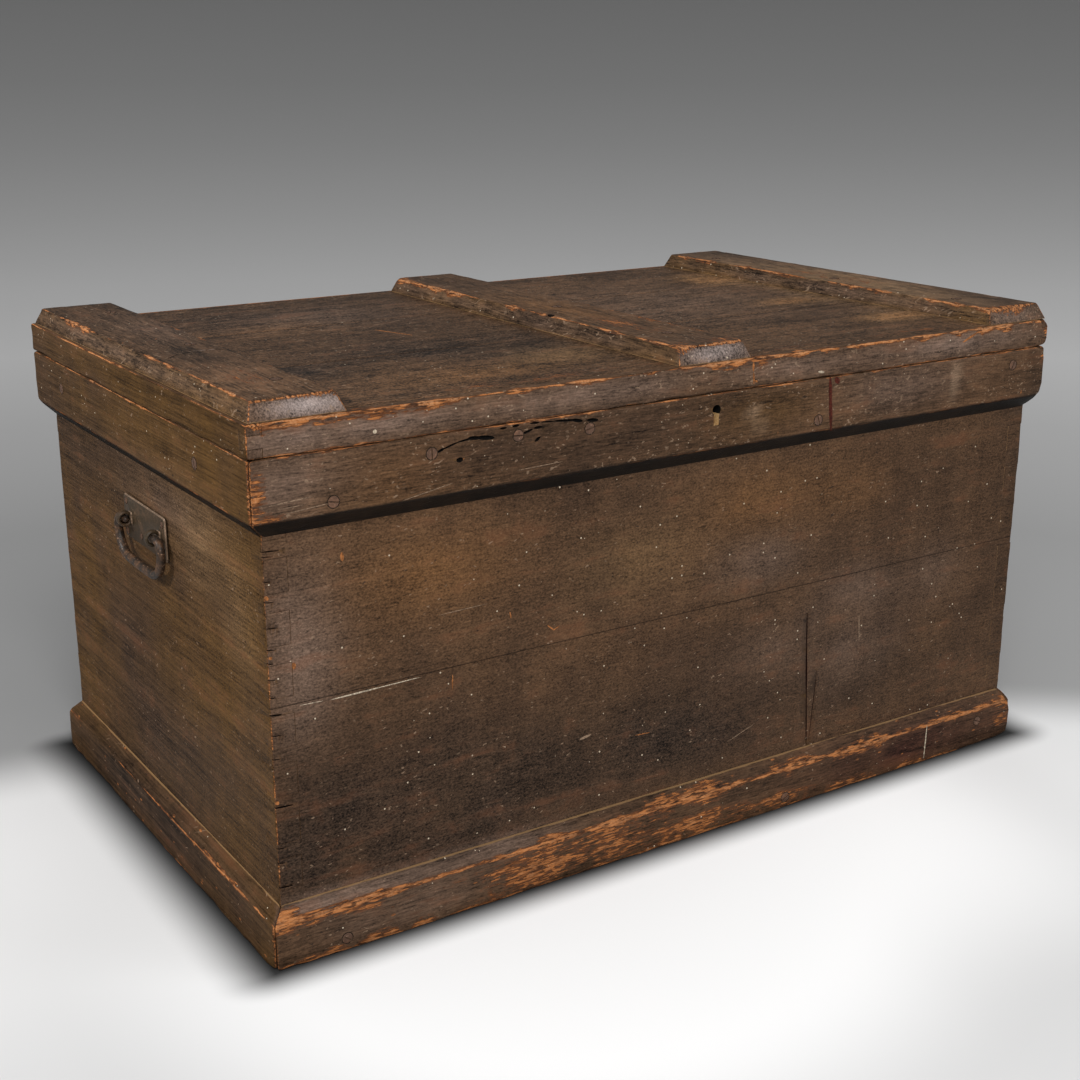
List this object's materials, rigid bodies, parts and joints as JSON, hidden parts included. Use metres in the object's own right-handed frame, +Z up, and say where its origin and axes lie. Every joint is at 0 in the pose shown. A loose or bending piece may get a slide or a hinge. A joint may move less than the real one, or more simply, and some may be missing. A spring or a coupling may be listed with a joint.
{
  "type": "tool chest",
  "caption": "Dovetailed pine tool chest with a skirt and plinth, a battened lid on butt hinges, iron drop handles on the ends, a chest lock and sliding tills inside.",
  "frame": {"origin": "on the floor, under the middle of the part's box", "axes": "+X along the chest to the right as seen from the front, -Y out of the front with the keyhole, +Z up"},
  "size_m": [0.949, 0.5904, 0.5091],
  "materials": {
    "stained_pine": "dark brown scumbled paint on pine, worn to bare wood on the arrises",
    "bare_pine": "aged unpainted pine",
    "wrought_iron": "dark wrought iron with a rusty brown skin",
    "lock_iron": "dull iron, rubbed where it moves"
  },
  "bodies": {
    "chest": {"front_upper_board": "stained_pine", "front_lower_board": "stained_pine", "back_upper_board": "stained_pine", "back_lower_board": "stained_pine", "left_upper_board": "stained_pine", "left_lower_board": "stained_pine", "right_upper_board": "stained_pine", "right_lower_board": "stained_pine", "bottom_board_1": "bare_pine", "bottom_board_2": "bare_pine", "bottom_board_3": "bare_pine", "bottom_board_4": "bare_pine", "bottom_board_5": "bare_pine", "plinth_front": "stained_pine", "plinth_back": "stained_pine", "plinth_left": "stained_pine", "plinth_right": "stained_pine", "skirt_front": "stained_pine", "skirt_back": "stained_pine", "skirt_left": "stained_pine", "skirt_right": "stained_pine", "hinge_rail": "stained_pine", "left_handle_plate": "wrought_iron", "right_handle_plate": "wrought_iron", "left_hinge_chest_leaf": "lock_iron", "right_hinge_chest_leaf": "lock_iron", "left_hinge_pin": "lock_iron", "right_hinge_pin": "lock_iron", "lock_case": "lock_iron", "upper_runner_left": "bare_pine", "upper_runner_right": "bare_pine", "lower_runner_left": "bare_pine", "lower_runner_right": "bare_pine"},
    "lid": {"rim_front": "stained_pine", "rim_left": "stained_pine", "rim_right": "stained_pine", "lid_front_board": "stained_pine", "lid_middle_board": "stained_pine", "lid_back_board": "stained_pine", "batten_left": "stained_pine", "batten_middle": "stained_pine", "batten_right": "stained_pine", "left_hinge_lid_leaf": "lock_iron", "right_hinge_lid_leaf": "lock_iron", "lock_link": "lock_iron"},
    "left_bail": {"left_handle_bail": "wrought_iron"},
    "right_bail": {"right_handle_bail": "wrought_iron"},
    "lock_bolt": {"lock_bolt": "lock_iron"},
    "upper_till": {"upper_till_front": "bare_pine", "upper_till_back": "bare_pine", "upper_till_left": "bare_pine", "upper_till_right": "bare_pine", "upper_till_bottom": "bare_pine"},
    "lower_till": {"lower_till_front": "bare_pine", "lower_till_back": "bare_pine", "lower_till_left": "bare_pine", "lower_till_right": "bare_pine", "lower_till_bottom": "bare_pine"}
  },
  "joints": [
    {"name": "lid_hinge", "type": "hinge", "parent": "chest", "child": "lid", "pos_m": [0, 0.2902, 0.47615], "axis": [-1, 0, 0], "range_deg": [0, 105]},
    {"name": "left_bail_swing", "type": "hinge", "parent": "chest", "child": "left_bail", "pos_m": [-0.4665, -0.0052, 0.3345], "axis": [0, 1, 0], "range_deg": [0, 180]},
    {"name": "right_bail_swing", "type": "hinge", "parent": "chest", "child": "right_bail", "pos_m": [0.4665, -0.0052, 0.3345], "axis": [0, -1, 0], "range_deg": [0, 180]},
    {"name": "lock_bolt_slide", "type": "slide", "parent": "chest", "child": "lock_bolt", "axis": [1, 0, 0], "range_m": [0, 0.014]},
    {"name": "upper_till_slide", "type": "slide", "parent": "chest", "child": "upper_till", "axis": [0, -1, 0], "range_m": [0, 0.303]},
    {"name": "lower_till_slide", "type": "slide", "parent": "chest", "child": "lower_till", "axis": [0, -1, 0], "range_m": [0, 0.263]}
  ]
}
